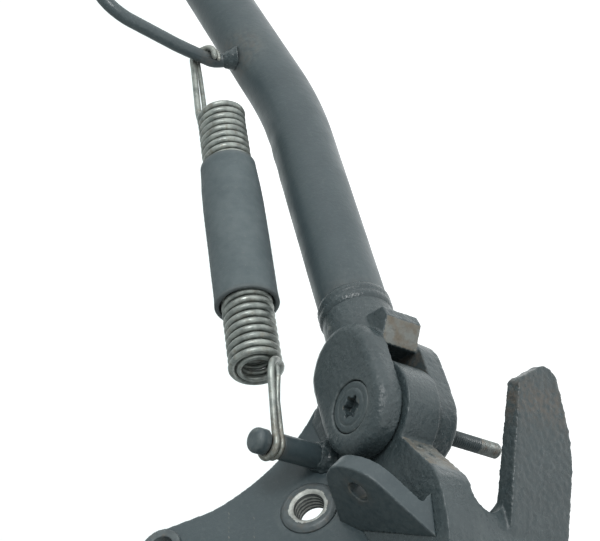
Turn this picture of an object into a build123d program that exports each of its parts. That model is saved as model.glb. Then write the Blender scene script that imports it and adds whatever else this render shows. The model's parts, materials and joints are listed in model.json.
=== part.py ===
from build123d import *
import os
from math import cos, radians, sin

# Motorcycle side stand with its frame bracket, modelled with the leg folded up (stowed).
# Bike axes: +X forward, +Y outboard (square to the mounting plate), +Z up.
# The origin is the centre of the pivot, halfway along the pivot bolt.
# The pivot axis leans, so pivot parts are drawn in pivot coordinates:
#   u = X, k = outboard and down, s = along the bolt towards its head.

# ---- driving dimensions (mm, degrees) ----
pivot_tilt = 37.0          # lean of the pivot axis from Y towards Z
leg_angle = 169.2          # direction of the stowed leg in the u-k plane
leg_travel = 116.0         # stowed to deployed
ground_pitch = 25.0        # nose-down pitch of the bracket when it is on the machine

boss_radius = 20.0         # centre lug of the bracket
lug_half = 7.5
washer_radius = 16.0
washer_gap = 0.05
washer_thickness = 0.7
ear_radius = 17.5          # clevis cheeks
ear_length = 18.0
ear_inner = 8.3
ear_outer = 17.5
far_ear_outer = -18.3
web_clear_radius = 26.0    # web of the clevis clears the lug
stop_gap = 0.08            # gap left at both leg stops
ledge_angle = 15.0         # worn ledge that stops the deployed leg
ledge_offset = 1.13

neck_radius = 13.45
neck_end = 51.0
tube_radius = 13.45
tube_wall = 2.85
bend_station = 170.0       # vertex of the leg's bend, from the pivot
bend_radius = 200.0
foot_run = 148.0           # straight run after the bend

bolt_radius = 6.0
bolt_thread_radius = 5.0
stud_radius = 3.0
stud_end = -54.4
head_radius = 9.5
counterbore_radius = 9.8
counterbore_floor = 12.0

plate_face = -10.0         # outboard face of the mounting plate
plate_thickness = 8.0
thread_x, thread_z = 12.8, 39.0
upper_x, upper_z = -0.8, 93.4
front_x, front_z = 52.0, 62.0

post_u, post_k = -5.0, -27.5
post_radius = 4.7
post_waist = 3.4
post_tip = 40.5
rod_u, rod_k = -206.0, 25.3
rod_radius = 3.0

outer_wire, outer_coil = 1.35, 8.8      # wire radius, mean coil radius
inner_wire, inner_coil = 1.0, 5.75
outer_hook_s = (32.0, 30.7, 33.2)       # hook heights at the rod, past it and at the post
inner_hook_s = (29.3, 27.9, 30.6)

os.makedirs("parts", exist_ok=True)

# ---- frames ----
tilt = radians(pivot_tilt)
pivot_plane = Plane(origin=(0, 0, 0), x_dir=(1, 0, 0), z_dir=(0, cos(tilt), sin(tilt)))
leg_turn = Vector(cos(radians(leg_angle)), sin(radians(leg_angle)))
leg_plane = Plane(
    origin=(0, 0, 0),
    x_dir=pivot_plane.from_local_coords(leg_turn),
    z_dir=pivot_plane.z_dir,
)
bolt_axis = Axis((0, 0, 0), pivot_plane.z_dir)
stand_axis = Axis((0, 0, 0), (0, -cos(tilt), -sin(tilt)))


def at_pivot(u, k, s):
    """A point given in pivot coordinates, in bike axes."""
    return pivot_plane.from_local_coords(Vector(u, k, s))


def leg_profile_plane():
    """A plane through the leg's axis for revolved profiles: x along the leg, y along the bolt."""
    return Plane(origin=(0, 0, 0), x_dir=leg_plane.x_dir, z_dir=-leg_plane.y_dir)


# tab on the bracket: its front face, drawn with x forward along its free edge, y outboard
tab_normal = Vector(0.5225, 0.1652, 0.8365).normalized()
tab_forward = Vector(0.8462, -0.0047, -0.5276)
tab_offset = 37.0
tab_thickness = 6.5
tab_plane = Plane(origin=tab_normal * tab_offset, x_dir=tab_forward, z_dir=tab_normal)

# guard horn of the bracket: its front face, x towards the tip, y along the bolt
horn_u, horn_k = 0.643, 0.766
horn_offset = 44.8
horn_plane = Plane(
    origin=at_pivot(horn_u * horn_offset, horn_k * horn_offset, 0),
    x_dir=at_pivot(-horn_k, horn_u, 0),
    z_dir=at_pivot(horn_u, horn_k, 0),
)

# the leg's straight run, its bend and the run to the foot
first_run = leg_plane.x_dir
second_run = at_pivot(-0.9854, 0.064, 0.157).normalized()
bend_vertex = first_run * bend_station
foot_centre = bend_vertex + second_run * foot_run
ground_down = Vector(sin(radians(ground_pitch)), 0, -cos(radians(ground_pitch)))
ground_forward = Vector(cos(radians(ground_pitch)), 0, sin(radians(ground_pitch)))
sole_normal = ground_down.rotate(stand_axis, -leg_travel)
sole_forward = ground_forward.rotate(stand_axis, -leg_travel)
foot_plane = Plane(origin=foot_centre, x_dir=sole_forward, z_dir=sole_normal)

# ---- mounting plate ----
plate_plane = Plane.XZ.offset(-plate_face)
with BuildPart() as mounting_plate:
    with BuildSketch(plate_plane):
        with BuildLine():
            rear = ThreePointArc((-29.7, 22.2), (-13.6, 44.5), (-6.6, 72))
            rise = Line(rear @ 1, (-8.6, 88))
            Line(rise @ 1, (-3, 101))
            ThreePointArc((-3, 101), (26, 88), (50, 76))
            Line((50, 76), (66, 62))
            front = ThreePointArc((66, 62), (64, 40), (74, 22))
            Line(front @ 1, (68, 15))
            Line((68, 15), (-23, 15))
            ThreePointArc((-23, 15), (-29.5, 16.8), (-29.7, 22.2))
        make_face()
        with Locations((upper_x, upper_z)):
            Circle(9.0)
        with Locations((front_x, front_z)):
            Circle(14.5)
        with Locations((thread_x, thread_z)):
            Circle(9.0, mode=Mode.SUBTRACT)
        with Locations((upper_x, upper_z)):
            Circle(6.6, mode=Mode.SUBTRACT)
        with Locations((front_x, front_z)):
            Circle(5.5, mode=Mode.SUBTRACT)
    extrude(amount=plate_thickness)
mounting_plate.part.label = "mounting_plate"

# threaded boss let into the plate, standing 1.4 mm proud with a tapered ring
with BuildPart() as threaded_boss:
    with BuildSketch(plate_plane):
        with Locations((thread_x, thread_z)):
            Circle(9.0)
    extrude(amount=plate_thickness)
    with BuildSketch(plate_plane):
        with Locations((thread_x, thread_z)):
            Circle(10.9)
    extrude(amount=-1.4, taper=40)
    with BuildSketch(plate_plane.offset(-1.4)):
        with Locations((thread_x, thread_z)):
            Circle(5.35)
    extrude(amount=plate_thickness + 1.4, mode=Mode.SUBTRACT)
    mouth = threaded_boss.edges().filter_by(GeomType.CIRCLE).sort_by(Axis.Y)[-1]
    chamfer(mouth, length=0.8)
threaded_boss.part.label = "threaded_boss"

# flanged bush in the upper hole
with BuildPart() as upper_hole_bush:
    with BuildSketch(plate_plane):
        with Locations((upper_x, upper_z)):
            Circle(6.6)
    extrude(amount=plate_thickness)
    with BuildSketch(plate_plane):
        with Locations((upper_x, upper_z)):
            Circle(7.6)
    extrude(amount=-1.2)
    rim = upper_hole_bush.edges().filter_by(GeomType.CIRCLE).sort_by(Axis.Y)[-1]
    fillet(rim, radius=0.4)
    with BuildSketch(plate_plane.offset(-1.2)):
        with Locations((upper_x, upper_z)):
            Circle(4.5)
    extrude(amount=plate_thickness + 1.2, mode=Mode.SUBTRACT)
upper_hole_bush.part.label = "upper_hole_bush"

# ---- pivot casting: centre lug, ledge, root and guard horn ----
# line of the worn ledge, and where it ends in the corner of the lug's wall
ledge_dir = Vector(cos(radians(ledge_angle)), sin(radians(ledge_angle)))
ledge_foot = Vector(-sin(radians(ledge_angle)), cos(radians(ledge_angle))) * ledge_offset
ledge_start = ledge_foot + ledge_dir * 14
ledge_corner = ledge_foot + ledge_dir * 40.6

# stowed stop: a shoulder parallel to the leg, behind the pivot
shoulder_y = 14.9
shoulder_in = leg_plane.from_local_coords(Vector(13.0, shoulder_y, 0))
shoulder_out = leg_plane.from_local_coords(Vector(31.5, shoulder_y, 0))
shoulder_in = pivot_plane.to_local_coords(shoulder_in)
shoulder_out = pivot_plane.to_local_coords(shoulder_out)

# outer wall of the lug, bending down towards the root
wall_start, wall_middle, wall_end = (43.0, 11.9), (62.0, 6.3), (80.0, -6.5)

# horn blank: a tapered finger in the u-k plane, cut to its outline in its own plane
with BuildPart() as horn_blank:
    with BuildSketch(pivot_plane.offset(-48)):
        with BuildLine():
            Line((11.95, 48.45), (57.9, 9.88))
            Line((57.9, 9.88), (62.0, 5.0))
            Line((62.0, 5.0), (62.0, -4.0))
            Line((62.0, -4.0), (46.6, -4.0))
            Line((46.6, -4.0), (46.6, 5.0))
            ThreePointArc((46.6, 5.0), (46.5, 8.3), (44.4, 11.2))
            Line((44.4, 11.2), (8.2, 44.0))
            Line((8.2, 44.0), (11.95, 48.45))
        make_face()
    extrude(amount=28)
    with BuildSketch(horn_plane.offset(-60)):
        with BuildLine():
            Polyline((-70, -20), (10.6, -20))
            Spline((10.6, -20), (13.2, -20.8), (14.6, -22.8))
            Line((14.6, -22.8), (18.6, -28.6))
            Spline((18.6, -28.6), (20.2, -31.8), (18.7, -36.5), (10, -41.2), (1.3, -45), (-14.8, -48))
            Polyline((-14.8, -48), (-70, -48), (-70, -20))
        make_face()
    extrude(amount=80, mode=Mode.INTERSECT)

with BuildPart() as pivot_casting:
    with BuildSketch(pivot_plane.offset(-lug_half)):
        Circle(boss_radius)
        with BuildLine():
            Polyline(
                (ledge_start.X, ledge_start.Y),
                (ledge_corner.X, ledge_corner.Y),
                wall_start,
            )
            ThreePointArc(wall_start, wall_middle, wall_end)
            Polyline(
                wall_end,
                (80.0, -33.0),
                (-20.0, -33.0),
                (shoulder_out.X, shoulder_out.Y),
                (shoulder_in.X, shoulder_in.Y),
                (-6.0, -4.0),
                (ledge_start.X, ledge_start.Y),
            )
        make_face()
    extrude(amount=2 * lug_half)
    # root behind the U-shaped gap, carrying the horn
    with BuildSketch(pivot_plane.offset(-48)):
        with BuildLine():
            ThreePointArc(wall_start, wall_middle, wall_end)
            Polyline(wall_end, (80.0, -20.0), (43.0, -9.0), wall_start)
        make_face()
    extrude(amount=48 - lug_half)
    # the U-shaped gap: rounded bottom between the lug and the horn
    with BuildSketch(Plane(origin=(0, 0, 0), x_dir=(1, 0, 0), z_dir=pivot_plane.y_dir)):
        with BuildLine():
            Line((30, 7.5), (47.0, 7.5))
            ThreePointArc((47.0, 7.5), (53.0, 13.4), (46.6, 20))
            Polyline((46.6, 20), (46.6, 60), (30, 60), (30, 7.5))
        make_face()
    extrude(amount=60, both=True, mode=Mode.SUBTRACT)
    add(horn_blank.part)
    # nothing of the lug stands behind the mounting plate
    with BuildSketch(Plane.XZ.offset(-plate_face + plate_thickness)):
        with Locations((20, 40)):
            Rectangle(200, 60)
    extrude(amount=60, mode=Mode.SUBTRACT)
    # bore for the bush
    with BuildSketch(pivot_plane.offset(-lug_half)):
        Circle(9.0)
    extrude(amount=2 * lug_half, mode=Mode.SUBTRACT)
    add(mounting_plate.part, mode=Mode.SUBTRACT)
    add(threaded_boss.part, mode=Mode.SUBTRACT)
pivot_casting.part.label = "pivot_casting"

# ---- tab with a hole, standing on the plate and the lug ----
with BuildPart() as gusset_tab:
    with BuildSketch(tab_plane):
        with BuildLine():
            Line((4.6, -26), (2.8, -1))
            Spline((2.8, -1), (4.7, 8.3), (9.4, 12.9), (16, 15.2), (23.5, 15.4), (29.9, 12.7), (36, 8.6))
            Line((36, 8.6), (60, -6.2))
            Line((60, -6.2), (60, -26))
            Line((60, -26), (4.6, -26))
        make_face()
        with Locations((17.3, 4.6)):
            Circle(3.9, mode=Mode.SUBTRACT)
    extrude(amount=-tab_thickness)
    # thick foot that runs into the lug's wall
    with BuildSketch(tab_plane):
        Polygon((40, 6.13), (60, -6.2), (60, -26), (40, -26), align=None)
    extrude(amount=-18)
    with BuildSketch(plate_plane):
        with Locations((20, 20)):
            Rectangle(200, 120)
    extrude(amount=60, mode=Mode.SUBTRACT)
    with BuildSketch(pivot_plane.offset(lug_half)):
        Rectangle(200, 160)
    extrude(amount=-60, mode=Mode.SUBTRACT)
    add(mounting_plate.part, mode=Mode.SUBTRACT)
    add(threaded_boss.part, mode=Mode.SUBTRACT)
gusset_tab.part.label = "gusset_tab"

# weld bead behind the tab, along the lug
with BuildPart() as tab_weld:
    # the seam is where the tab's back face meets the lug's outboard face
    bead_start = at_pivot(21.0, -16.5, lug_half)
    bead_end = at_pivot(42.0, -2.5, lug_half)
    with BuildSketch(Plane(origin=bead_start, z_dir=bead_end - bead_start)):
        Circle(3.0)
    extrude(amount=(bead_end - bead_start).length)
    fillet(tab_weld.edges().filter_by(GeomType.CIRCLE), radius=2.9)
    with BuildSketch(pivot_plane.offset(lug_half)):
        Rectangle(200, 160)
    extrude(amount=-60, mode=Mode.SUBTRACT)
    add(gusset_tab.part, mode=Mode.SUBTRACT)
    with BuildSketch(plate_plane):
        with Locations((20, 20)):
            Rectangle(200, 120)
    extrude(amount=60, mode=Mode.SUBTRACT)
    with BuildSketch(tab_plane):
        Rectangle(200, 160)
    extrude(amount=60, mode=Mode.SUBTRACT)
tab_weld.part.label = "tab_weld"

# weld bead where the lug meets the plate, behind the plate's inboard face
with BuildPart() as plate_weld:
    seam_k = (plate_face - plate_thickness + lug_half * cos(tilt)) / sin(tilt)
    bead_start = at_pivot(-12, seam_k, -lug_half)
    with BuildSketch(Plane(origin=bead_start, z_dir=(1, 0, 0))):
        Circle(2.0)
    extrude(amount=80)
    fillet(plate_weld.edges().filter_by(GeomType.CIRCLE), radius=1.9)
    add(pivot_casting.part, mode=Mode.SUBTRACT)
    add(mounting_plate.part, mode=Mode.SUBTRACT)
plate_weld.part.label = "plate_weld"

# ---- spring post and its weld ----
post_plane = Plane(origin=at_pivot(post_u, post_k, 0), x_dir=(1, 0, 0), z_dir=pivot_plane.z_dir)
with BuildPart() as spring_post:
    with BuildSketch(post_plane):
        Circle(post_radius)
    extrude(amount=post_tip)
    tip = spring_post.edges().filter_by(GeomType.CIRCLE).sort_by(bolt_axis)[-1]
    fillet(tip, radius=2.2)
    # waist that keeps the hooks in place
    with BuildSketch(post_plane.offset(29.2)):
        Circle(post_radius + 2)
        Circle(post_waist, mode=Mode.SUBTRACT)
    extrude(amount=5.8, mode=Mode.SUBTRACT)
    with BuildSketch(plate_plane):
        with Locations((0, 20)):
            Rectangle(200, 200)
    extrude(amount=60, mode=Mode.SUBTRACT)
    with BuildSketch(pivot_plane.offset(lug_half)):
        Rectangle(200, 160)
    extrude(amount=-60, mode=Mode.SUBTRACT)
    add(mounting_plate.part, mode=Mode.SUBTRACT)
spring_post.part.label = "spring_post"

with BuildPart() as post_weld:
    with BuildSketch(post_plane.offset(2)):
        Circle(10.0)
    extrude(amount=11.0, taper=25)
    with BuildSketch(post_plane):
        Circle(post_radius)
    extrude(amount=20, mode=Mode.SUBTRACT)
    with BuildSketch(plate_plane):
        with Locations((0, 20)):
            Rectangle(200, 200)
    extrude(amount=60, mode=Mode.SUBTRACT)
    with BuildSketch(pivot_plane.offset(lug_half)):
        Rectangle(200, 160)
    extrude(amount=-60, mode=Mode.SUBTRACT)
    add(mounting_plate.part, mode=Mode.SUBTRACT)
post_weld.part.label = "post_weld"

# ---- bush and thrust washers of the pivot ----
with BuildPart() as pivot_bush:
    with BuildSketch(pivot_plane.offset(-lug_half)):
        Circle(9.0)
        Circle(bolt_radius + 0.05, mode=Mode.SUBTRACT)
    extrude(amount=2 * lug_half)
pivot_bush.part.label = "pivot_bush"

with BuildPart() as thrust_washers:
    for start in (lug_half + washer_gap, -lug_half - washer_gap - washer_thickness):
        with BuildSketch(pivot_plane.offset(start)):
            Circle(washer_radius)
            Circle(bolt_radius + 0.05, mode=Mode.SUBTRACT)
        extrude(amount=washer_thickness)
thrust_washers.part.label = "thrust_washers"

# ---- clevis at the top of the leg ----
# the stop block's face is the ledge turned back by the leg's travel, less the gap
stop_normal_angle = ledge_angle - 90 + leg_travel - leg_angle
stop_normal = Vector(cos(radians(stop_normal_angle)), sin(radians(stop_normal_angle)))
stop_along = Vector(-stop_normal.Y, stop_normal.X)
stop_base = stop_normal * (-ledge_offset - stop_gap)
stop_inner = stop_base + stop_along * 24.5
stop_outer = stop_base + stop_along * 36.2

with BuildPart() as clevis:
    for start, end in ((ear_inner, ear_outer), (far_ear_outer, -ear_inner)):
        with BuildSketch(leg_plane.offset(start)):
            with Locations((ear_length / 2, 0)):
                SlotOverall(ear_length + 2 * ear_radius, 2 * ear_radius)
        extrude(amount=end - start)
    # round over the outside rims of both cheeks
    fillet(clevis.faces().sort_by(bolt_axis)[-1].edges(), radius=4.4)
    fillet(clevis.faces().sort_by(bolt_axis)[0].edges(), radius=1.6)
    # web and stop block between the cheeks
    with BuildSketch(leg_plane.offset(-ear_inner)):
        with BuildLine():
            Polyline(
                (stop_inner.X, stop_inner.Y),
                (stop_outer.X, stop_outer.Y),
                (stop_outer.X + 4.8, stop_outer.Y + 0.6),
                (36.5, -13.2),
                (37.0, 0),
                (36.5, 12.0),
                (32.6, shoulder_y - stop_gap),
                (20.0, shoulder_y - stop_gap),
                (20.0, 0),
                (stop_inner.X, stop_inner.Y),
            )
        make_face()
        Circle(web_clear_radius, mode=Mode.SUBTRACT)
    extrude(amount=2 * ear_inner)
    # neck that the tube is welded to
    with BuildSketch(Plane(origin=first_run * 31, z_dir=first_run)):
        Circle(neck_radius + 0.9)
    with BuildSketch(Plane(origin=first_run * neck_end, z_dir=first_run)):
        Circle(neck_radius)
    loft()
    # bolt holes and the counterbore for the head
    with BuildSketch(leg_plane.offset(0)):
        Circle(bolt_radius + 0.1)
    extrude(amount=30, mode=Mode.SUBTRACT)
    with BuildSketch(leg_plane.offset(counterbore_floor)):
        Circle(counterbore_radius)
    extrude(amount=20, mode=Mode.SUBTRACT)
    with BuildSketch(leg_plane.offset(0)):
        Circle(bolt_thread_radius)
    extrude(amount=-30, mode=Mode.SUBTRACT)
clevis.part.label = "clevis"

# ---- pivot bolt with a six-lobe socket and a threaded stud on its far end ----
with BuildPart() as pivot_bolt:
    for start, end, radius in (
        (-ear_inner, counterbore_floor, bolt_radius),
        (far_ear_outer, -ear_inner, bolt_thread_radius),
        (stud_end, far_ear_outer, stud_radius),
        (counterbore_floor, 17.2, head_radius),
    ):
        with BuildSketch(leg_plane.offset(start)):
            Circle(radius)
        extrude(amount=end - start)
    ends = pivot_bolt.edges().filter_by(GeomType.CIRCLE).sort_by(bolt_axis)
    fillet(ends[-1], radius=0.8)
    chamfer(ends[0], length=0.9)
    with BuildSketch(leg_plane.offset(17.2)):
        Circle(3.3)
        with PolarLocations(3.45, 6):
            Circle(0.95)
    extrude(amount=-3.6, mode=Mode.SUBTRACT)
pivot_bolt.part.label = "pivot_bolt"

# ---- leg tube ----
bend_plane = Plane(origin=bend_vertex, x_dir=first_run, z_dir=first_run.cross(second_run))
bend_turn = radians(first_run.get_angle(second_run))
leg_start = (neck_end - bend_station, 0)
leg_stop = ((foot_run + 40) * cos(bend_turn), (foot_run + 40) * sin(bend_turn))

with BuildPart() as leg_rod:
    with BuildLine(bend_plane) as leg_path:
        FilletPolyline(leg_start, (0, 0), leg_stop, radius=bend_radius)
    with BuildSketch(Plane(origin=first_run * neck_end, z_dir=first_run)):
        Circle(tube_radius)
    sweep(path=leg_path.line)
    with BuildSketch(foot_plane):
        Circle(120)
    extrude(amount=80, mode=Mode.SUBTRACT)

with BuildPart() as leg_tube:
    with BuildLine(bend_plane) as tube_path:
        FilletPolyline(leg_start, (0, 0), leg_stop, radius=bend_radius)
    with BuildSketch(Plane(origin=first_run * neck_end, z_dir=first_run)):
        Circle(tube_radius)
        Circle(tube_radius - tube_wall, mode=Mode.SUBTRACT)
    sweep(path=tube_path.line)
    with BuildSketch(foot_plane):
        Circle(120)
    extrude(amount=80, mode=Mode.SUBTRACT)
leg_tube.part.label = "leg_tube"

# weld ring where the tube meets the neck
with BuildPart() as neck_weld:
    with BuildSketch(leg_profile_plane()):
        with BuildLine():
            Line((neck_end - 3.4, tube_radius), (neck_end + 3.4, tube_radius))
            ThreePointArc(
                (neck_end + 3.4, tube_radius),
                (neck_end, tube_radius + 1.1),
                (neck_end - 3.4, tube_radius),
            )
        make_face()
    revolve(axis=Axis((0, 0, 0), first_run))
    add(clevis.part, mode=Mode.SUBTRACT)
neck_weld.part.label = "neck_weld"

# ---- foot: sole plate and its weld ----
with BuildPart() as foot_plate:
    with BuildSketch(foot_plane):
        with Locations((6, 0)):
            Ellipse(36, 27)
    extrude(amount=5)
    fillet(foot_plate.edges(), radius=1.8)
foot_plate.part.label = "foot_plate"

with BuildPart() as foot_weld:
    lean = second_run.dot(sole_normal)
    tube_line = second_run - sole_normal * lean
    weld_plane = Plane(origin=foot_centre, x_dir=tube_line, z_dir=-sole_normal)
    with BuildSketch(weld_plane):
        Ellipse(tube_radius / lean + 3.2, tube_radius + 3.2)
    extrude(amount=3.2, taper=40)
    add(leg_rod.part, mode=Mode.SUBTRACT)
foot_weld.part.label = "foot_weld"

# ---- toe rod: lever for the rider's boot, which also holds the spring's upper hooks ----
rod_points = [
    at_pivot(-203.2, 33.5, 14.0),
    at_pivot(-205.6, 25.3, 25.5),
    at_pivot(rod_u, rod_k + 0.1, 45.0),
    at_pivot(rod_u - 0.4, rod_k + 2.6, 82.0),
    at_pivot(rod_u - 60, rod_k + 6.5, 86.0),
]
with BuildPart() as toe_rod:
    with BuildLine() as rod_path:
        FilletPolyline(*rod_points, radius=[9, 60, 14])
    with BuildSketch(Plane(origin=rod_points[0], z_dir=rod_points[1] - rod_points[0])):
        Circle(rod_radius)
    sweep(path=rod_path.line)
    # rounded free end
    end_run = rod_points[4] - rod_points[3]
    with BuildSketch(Plane(origin=rod_points[4], x_dir=end_run, z_dir=pivot_plane.y_dir)):
        with BuildLine():
            Line((0, 0), (rod_radius, 0))
            ThreePointArc((rod_radius, 0), (rod_radius * 0.7071, rod_radius * 0.7071), (0, rod_radius))
            Line((0, rod_radius), (0, 0))
        make_face()
    revolve(axis=Axis(rod_points[4], end_run))
    add(leg_rod.part, mode=Mode.SUBTRACT)
toe_rod.part.label = "toe_rod"

with BuildPart() as rod_weld:
    rod_run = (rod_points[1] - rod_points[0]).normalized()
    with BuildSketch(Plane(origin=rod_points[0] + rod_run * 3.5, z_dir=rod_run)):
        Circle(6.0)
    extrude(amount=6.5, taper=24)
    add(leg_rod.part, mode=Mode.SUBTRACT)
    add(toe_rod.part, mode=Mode.SUBTRACT)
rod_weld.part.label = "rod_weld"

# ---- return springs: two nested coils, drawn as the space that the coils fill, with their hooks ----
coil_top = Vector(-167.64, 18.76, 30.0)
coil_bottom = Vector(-39.17, -21.95, 30.0)
coil_dir = (coil_bottom - coil_top).normalized()
coil_side = Vector(-coil_dir.Y, coil_dir.X, 0)
pull = (Vector(post_u, post_k) - Vector(rod_u, rod_k)).normalized()
pull_side = Vector(-pull.Y, pull.X, 0)


def hook_path(anchor, outward, side, rim, reach, near_s, far_s):
    """Corner points of a hook: from the coil's rim, round the anchor and back for a short tail."""
    beside = anchor - outward * 3 - side * reach
    first = anchor + outward * reach - side * reach
    second = anchor + outward * reach + side * reach
    tail = anchor - outward * 2.0 + side * reach
    points = [(rim, rim.Z), (beside, near_s), (first, near_s), (second, far_s), (tail, far_s)]
    return [at_pivot(p.X, p.Y, s) for p, s in points]


def hook_points(coil_radius, wire, heights, inset):
    """The paths of a spring's two hooks: at the toe rod and at the post."""
    rod_centre = Vector(rod_u, rod_k)
    post_centre = Vector(post_u, post_k)
    top_rim = coil_top + coil_dir * inset - coil_side * coil_radius
    low_rim = coil_bottom - coil_dir * inset + coil_side * coil_radius
    top_rim = Vector(top_rim.X, top_rim.Y, 30 + (heights[0] - 30.6) * 0.8)
    low_rim = Vector(low_rim.X, low_rim.Y, 30 + (heights[2] - 32) * 0.8)
    rod_reach = rod_radius + wire + 0.25
    post_reach = post_waist + wire + 0.15
    top = hook_path(rod_centre, -pull, pull_side, top_rim, rod_reach, heights[0], heights[1])
    low = hook_path(post_centre, pull, -pull_side, low_rim, post_reach, heights[2], heights[2])
    return top, low


outer_hooks = hook_points(outer_coil, outer_wire, outer_hook_s, 2.0)
inner_hooks = hook_points(inner_coil, inner_wire, inner_hook_s, 2.0)
coil_plane = Plane(
    origin=at_pivot(coil_top.X, coil_top.Y, coil_top.Z),
    x_dir=pivot_plane.z_dir,
    z_dir=at_pivot(coil_dir.X, coil_dir.Y, 0),
)
coil_length = (coil_bottom - coil_top).length

with BuildPart() as outer_spring:
    with BuildSketch(coil_plane):
        Circle(outer_coil + outer_wire)
        Circle(outer_coil - outer_wire, mode=Mode.SUBTRACT)
    extrude(amount=coil_length)
    for points, corner in ((outer_hooks[0], 4.2), (outer_hooks[1], 4.6)):
        with BuildLine() as hook_line:
            FilletPolyline(*points, radius=[12, corner, corner])
        with BuildSketch(Plane(origin=points[0], z_dir=points[1] - points[0])):
            Circle(outer_wire)
        sweep(path=hook_line.line)
outer_spring.part.label = "outer_spring"

with BuildPart() as inner_spring:
    with BuildSketch(coil_plane.offset(0.4)):
        Circle(inner_coil + inner_wire)
        Circle(inner_coil - inner_wire, mode=Mode.SUBTRACT)
    extrude(amount=coil_length - 0.8)
    for points, corner in ((inner_hooks[0], 3.85), (inner_hooks[1], 4.25)):
        with BuildLine() as hook_line:
            FilletPolyline(*points, radius=[12, corner, corner])
        with BuildSketch(Plane(origin=points[0], z_dir=points[1] - points[0])):
            Circle(inner_wire)
        sweep(path=hook_line.line)
inner_spring.part.label = "inner_spring"

# rubber sleeve over the middle of the springs, flared at its lower end
sleeve_start, sleeve_end = 32.0, 103.5
with BuildPart() as spring_sleeve:
    with BuildSketch(Plane(origin=coil_plane.origin, x_dir=coil_plane.z_dir, z_dir=coil_plane.y_dir)):
        with BuildLine():
            Line((sleeve_start, 10.45), (sleeve_start, 11.2))
            ThreePointArc((sleeve_start, 11.2), (sleeve_start + 10, 11.95), (sleeve_start + 22, 12.3))
            Line((sleeve_start + 22, 12.3), (sleeve_end, 12.5))
            Line((sleeve_end, 12.5), (sleeve_end, 10.45))
            Line((sleeve_end, 10.45), (sleeve_start, 10.45))
        make_face()
    revolve(axis=Axis(coil_plane.origin, coil_plane.z_dir))
spring_sleeve.part.label = "spring_sleeve"

for piece in (
    pivot_casting,
    mounting_plate,
    gusset_tab,
    threaded_boss,
    upper_hole_bush,
    spring_post,
    post_weld,
    tab_weld,
    plate_weld,
    pivot_bush,
    thrust_washers,
    clevis,
    leg_tube,
    neck_weld,
    foot_plate,
    foot_weld,
    toe_rod,
    rod_weld,
    pivot_bolt,
    outer_spring,
    inner_spring,
    spring_sleeve,
):
    export_step(piece.part, "parts/" + piece.part.label + ".step")
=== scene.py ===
import json
from math import cos, exp, pi, sin

import bmesh
import bpy
import numpy as np
from mathutils import Matrix, Vector, noise

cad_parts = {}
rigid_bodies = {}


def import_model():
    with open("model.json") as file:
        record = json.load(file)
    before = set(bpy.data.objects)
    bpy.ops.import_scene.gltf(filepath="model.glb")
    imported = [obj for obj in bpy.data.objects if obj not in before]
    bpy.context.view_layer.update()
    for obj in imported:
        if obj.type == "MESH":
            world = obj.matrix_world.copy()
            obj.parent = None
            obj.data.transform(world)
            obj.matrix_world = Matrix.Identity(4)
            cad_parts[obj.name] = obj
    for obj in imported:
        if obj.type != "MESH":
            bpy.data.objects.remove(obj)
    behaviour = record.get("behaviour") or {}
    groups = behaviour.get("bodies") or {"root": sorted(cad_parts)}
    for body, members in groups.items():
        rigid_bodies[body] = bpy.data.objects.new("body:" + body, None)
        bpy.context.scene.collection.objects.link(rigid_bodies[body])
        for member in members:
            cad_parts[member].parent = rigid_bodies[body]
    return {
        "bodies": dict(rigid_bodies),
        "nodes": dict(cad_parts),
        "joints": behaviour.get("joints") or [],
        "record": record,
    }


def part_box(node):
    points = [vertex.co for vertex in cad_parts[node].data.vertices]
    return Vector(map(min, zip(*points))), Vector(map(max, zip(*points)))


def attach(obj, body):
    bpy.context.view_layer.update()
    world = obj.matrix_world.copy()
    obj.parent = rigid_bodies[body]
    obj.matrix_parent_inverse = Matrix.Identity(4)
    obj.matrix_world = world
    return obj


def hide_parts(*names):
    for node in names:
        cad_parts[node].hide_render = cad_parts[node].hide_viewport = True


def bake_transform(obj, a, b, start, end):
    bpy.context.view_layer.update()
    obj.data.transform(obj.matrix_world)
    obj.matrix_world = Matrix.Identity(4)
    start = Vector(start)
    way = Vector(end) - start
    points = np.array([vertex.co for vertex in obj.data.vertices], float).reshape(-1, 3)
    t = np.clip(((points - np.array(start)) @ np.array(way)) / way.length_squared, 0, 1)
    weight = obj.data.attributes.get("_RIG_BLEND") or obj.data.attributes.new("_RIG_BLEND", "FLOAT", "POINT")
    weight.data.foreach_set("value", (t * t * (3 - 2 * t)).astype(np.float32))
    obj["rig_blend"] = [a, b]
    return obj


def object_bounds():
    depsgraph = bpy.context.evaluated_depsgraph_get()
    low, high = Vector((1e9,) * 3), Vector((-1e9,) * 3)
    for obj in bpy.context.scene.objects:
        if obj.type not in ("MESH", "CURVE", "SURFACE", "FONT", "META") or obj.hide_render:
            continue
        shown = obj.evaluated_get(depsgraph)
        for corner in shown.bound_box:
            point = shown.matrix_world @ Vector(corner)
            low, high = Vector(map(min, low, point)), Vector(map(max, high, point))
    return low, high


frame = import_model()
scene = bpy.context.scene
known = set(frame["nodes"].values()) | set(frame["bodies"].values())
for left_over in [o for o in scene.objects if o not in known]:
    bpy.data.objects.remove(left_over)
cad_low, cad_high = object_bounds()

# ---------------------------------------------------------------- frames
# pivot coordinates, in mm: u = X, k = outboard and down, s = along the bolt to its head
leg_joint = [j for j in frame["joints"] if j["name"] == "leg_pivot"][0]
S_DIR = -Vector(leg_joint["axis"]).normalized()
U_DIR = Vector((1, 0, 0))
K_DIR = S_DIR.cross(U_DIR)
BASIS = np.array([U_DIR, K_DIR, S_DIR])
PLATE = Vector((0, 1, 0))


def piv(u, k, s):
    """Pivot coordinates in mm to the row frame in metres."""
    return (U_DIR * u + K_DIR * k + S_DIR * s) * 0.001


def piv_dir(u, k, s):
    return (U_DIR * u + K_DIR * k + S_DIR * s).normalized()


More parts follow.
